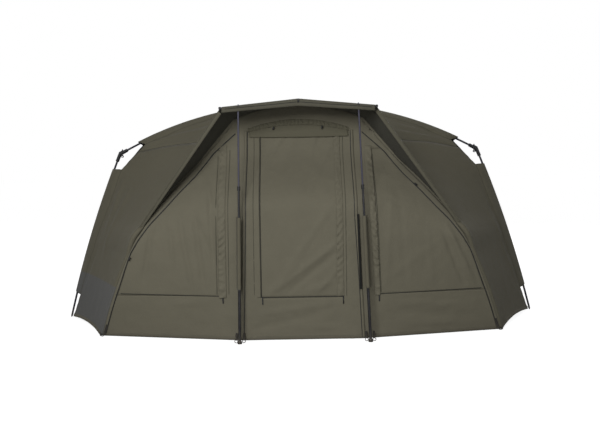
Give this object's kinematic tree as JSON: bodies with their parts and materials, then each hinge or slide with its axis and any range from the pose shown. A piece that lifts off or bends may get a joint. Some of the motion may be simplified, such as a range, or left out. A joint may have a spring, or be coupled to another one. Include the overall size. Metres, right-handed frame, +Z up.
{
  "type": "bivvy tent",
  "caption": "Folding one-person fishing shelter: curved hub-and-knuckle ribs, peaked hood on two storm poles, and a zipped front panel with door and windows.",
  "frame": {"origin": "on the ground under the middle of the tent", "axes": "+X to the right as seen from the front, the front faces -Y, +Z up"},
  "size_m": [3.538, 2.4161, 1.622],
  "materials": {
    "fabric": "woven, matt, proofed",
    "plastic": "moulded, fine grain",
    "pole": "satin, dark",
    "steel": "plain"
  },
  "bodies": {
    "canopy_frame": {"hub_block": "plastic", "hub_cap": "plastic", "rib_front_left": "pole", "knuckle_upper_front_left": "plastic", "knuckle_pin_front_left": "steel", "rib_front_right": "pole", "knuckle_upper_front_right": "plastic", "knuckle_pin_front_right": "steel", "rib_side_left": "pole", "knuckle_upper_side_left": "plastic", "knuckle_pin_side_left": "steel", "rib_side_right": "pole", "knuckle_upper_side_right": "plastic", "knuckle_pin_side_right": "steel", "rib_rear_left": "pole", "knuckle_upper_rear_left": "plastic", "knuckle_pin_rear_left": "steel", "rib_rear_right": "pole", "knuckle_upper_rear_right": "plastic", "knuckle_pin_rear_right": "steel", "storm_upper_left": "pole", "storm_upper_right": "pole", "brow_bar": "plastic", "door": "fabric", "door_valance": "fabric", "front_surround": "fabric", "hood": "fabric", "roof": "fabric", "wall_back": "fabric", "wall_front_left": "fabric", "wall_front_right": "fabric", "wall_rear_left": "fabric", "wall_rear_right": "fabric", "window_left": "fabric", "window_right": "fabric"},
    "lower_leg_front_left": {"knuckle_lower_front_left": "plastic", "leg_front_left": "pole"},
    "latch_lever_front_left": {"latch_front_left": "plastic"},
    "lower_leg_front_right": {"knuckle_lower_front_right": "plastic", "leg_front_right": "pole"},
    "latch_lever_front_right": {"latch_front_right": "plastic"},
    "lower_leg_side_left": {"knuckle_lower_side_left": "plastic", "leg_side_left": "pole"},
    "latch_lever_side_left": {"latch_side_left": "plastic"},
    "lower_leg_side_right": {"knuckle_lower_side_right": "plastic", "leg_side_right": "pole"},
    "latch_lever_side_right": {"latch_side_right": "plastic"},
    "lower_leg_rear_left": {"knuckle_lower_rear_left": "plastic", "leg_rear_left": "pole"},
    "latch_lever_rear_left": {"latch_rear_left": "plastic"},
    "lower_leg_rear_right": {"knuckle_lower_rear_right": "plastic", "leg_rear_right": "pole"},
    "latch_lever_rear_right": {"latch_rear_right": "plastic"},
    "storm_leg_left": {"storm_lower_left": "pole"},
    "storm_lock_left": {"storm_collar_left": "plastic"},
    "window_slider_left": {"window_pull_left": "plastic"},
    "storm_leg_right": {"storm_lower_right": "pole"},
    "storm_lock_right": {"storm_collar_right": "plastic"},
    "window_slider_right": {"window_pull_right": "plastic"},
    "door_slider": {"door_pull": "plastic"}
  },
  "joints": [
    {"name": "fold_side_left", "type": "hinge", "parent": "canopy_frame", "child": "lower_leg_side_left", "pos_m": [-1.33608, -0.19162, 1.22302], "axis": [0, -1, 0], "range_deg": [0, 118], "deforming": ["wall_front_left", "wall_front_right", "wall_rear_left", "wall_rear_right", "wall_back"]},
    {"name": "fold_side_right", "type": "hinge", "parent": "canopy_frame", "child": "lower_leg_side_right", "pos_m": [1.33608, -0.19162, 1.22302], "axis": [0, 1, 0], "range_deg": [0, 118]},
    {"name": "fold_front_left", "type": "hinge", "parent": "canopy_frame", "child": "lower_leg_front_left", "pos_m": [-1.08935, -0.99653, 0.67245], "axis": [0.7475, -0.5205, -0.4128], "range_deg": [0, 118]},
    {"name": "fold_front_right", "type": "hinge", "parent": "canopy_frame", "child": "lower_leg_front_right", "pos_m": [1.08935, -0.99653, 0.67245], "axis": [0.7475, 0.5205, 0.4128], "range_deg": [0, 118]},
    {"name": "fold_rear_left", "type": "hinge", "parent": "canopy_frame", "child": "lower_leg_rear_left", "pos_m": [-0.82257, 0.86123, 1.22302], "axis": [-0.788, -0.6157, 0], "range_deg": [0, 118]},
    {"name": "fold_rear_right", "type": "hinge", "parent": "canopy_frame", "child": "lower_leg_rear_right", "pos_m": [0.82257, 0.86123, 1.22302], "axis": [-0.788, 0.6157, 0], "range_deg": [0, 118]},
    {"name": "latch_front_left", "type": "hinge", "parent": "canopy_frame", "child": "latch_lever_front_left", "pos_m": [-1.10325, -1.02809, 0.68707], "axis": [0.7475, -0.5205, -0.4128], "range_deg": [0, 22], "stiffness_Nm_per_rad": 0.05},
    {"name": "latch_front_right", "type": "hinge", "parent": "canopy_frame", "child": "latch_lever_front_right", "pos_m": [1.10325, -1.02809, 0.68707], "axis": [0.7475, 0.5205, 0.4128], "range_deg": [0, 22], "stiffness_Nm_per_rad": 0.05},
    {"name": "latch_side_left", "type": "hinge", "parent": "canopy_frame", "child": "latch_lever_side_left", "pos_m": [-1.36237, -0.19162, 1.25124], "axis": [0, -1, 0], "range_deg": [0, 22], "stiffness_Nm_per_rad": 0.05},
    {"name": "latch_side_right", "type": "hinge", "parent": "canopy_frame", "child": "latch_lever_side_right", "pos_m": [1.36237, -0.19162, 1.25124], "axis": [0, 1, 0], "range_deg": [0, 22], "stiffness_Nm_per_rad": 0.05},
    {"name": "latch_rear_left", "type": "hinge", "parent": "canopy_frame", "child": "latch_lever_rear_left", "pos_m": [-0.83876, 0.88195, 1.25124], "axis": [-0.788, -0.6157, 0], "range_deg": [0, 22], "stiffness_Nm_per_rad": 0.05},
    {"name": "latch_rear_right", "type": "hinge", "parent": "canopy_frame", "child": "latch_lever_rear_right", "pos_m": [0.83876, 0.88195, 1.25124], "axis": [-0.788, 0.6157, 0], "range_deg": [0, 22], "stiffness_Nm_per_rad": 0.05},
    {"name": "storm_slide_left", "type": "slide", "parent": "canopy_frame", "child": "storm_leg_left", "axis": [0.0123, 0.0258, 0.9996], "range_m": [0, 0.45]},
    {"name": "storm_twist_left", "type": "hinge", "parent": "storm_leg_left", "child": "storm_lock_left", "pos_m": [-0.39262, -1.16556, 1.0096], "axis": [0.0123, 0.0258, 0.9996], "range_deg": [0, 90]},
    {"name": "storm_slide_right", "type": "slide", "parent": "canopy_frame", "child": "storm_leg_right", "axis": [-0.04, 0.0258, 0.9989], "range_m": [0, 0.45]},
    {"name": "storm_twist_right", "type": "hinge", "parent": "storm_leg_right", "child": "storm_lock_right", "pos_m": [0.40761, -1.16556, 1.0096], "axis": [-0.04, 0.0258, 0.9989], "range_deg": [0, 90]},
    {"name": "door_zip", "type": "slide", "parent": "canopy_frame", "child": "door_slider", "axis": [0, 0, 1], "range_m": [0, 1.03], "deforming": ["door"]},
    {"name": "window_zip_left", "type": "slide", "parent": "canopy_frame", "child": "window_slider_left", "axis": [-0.7916, 0.0796, 0.6058], "range_m": [0, 0.49], "deforming": ["window_left"]},
    {"name": "window_zip_right", "type": "slide", "parent": "canopy_frame", "child": "window_slider_right", "axis": [0.7916, 0.0796, 0.6058], "range_m": [0, 0.49], "deforming": ["window_right"]}
  ],
  "couplings": [
    {"joint": "fold_side_right", "follows": "fold_side_left", "ratio": 1},
    {"joint": "fold_front_left", "follows": "fold_side_left", "ratio": 1},
    {"joint": "fold_front_right", "follows": "fold_side_left", "ratio": 1},
    {"joint": "fold_rear_left", "follows": "fold_side_left", "ratio": 1},
    {"joint": "fold_rear_right", "follows": "fold_side_left", "ratio": 1}
  ]
}
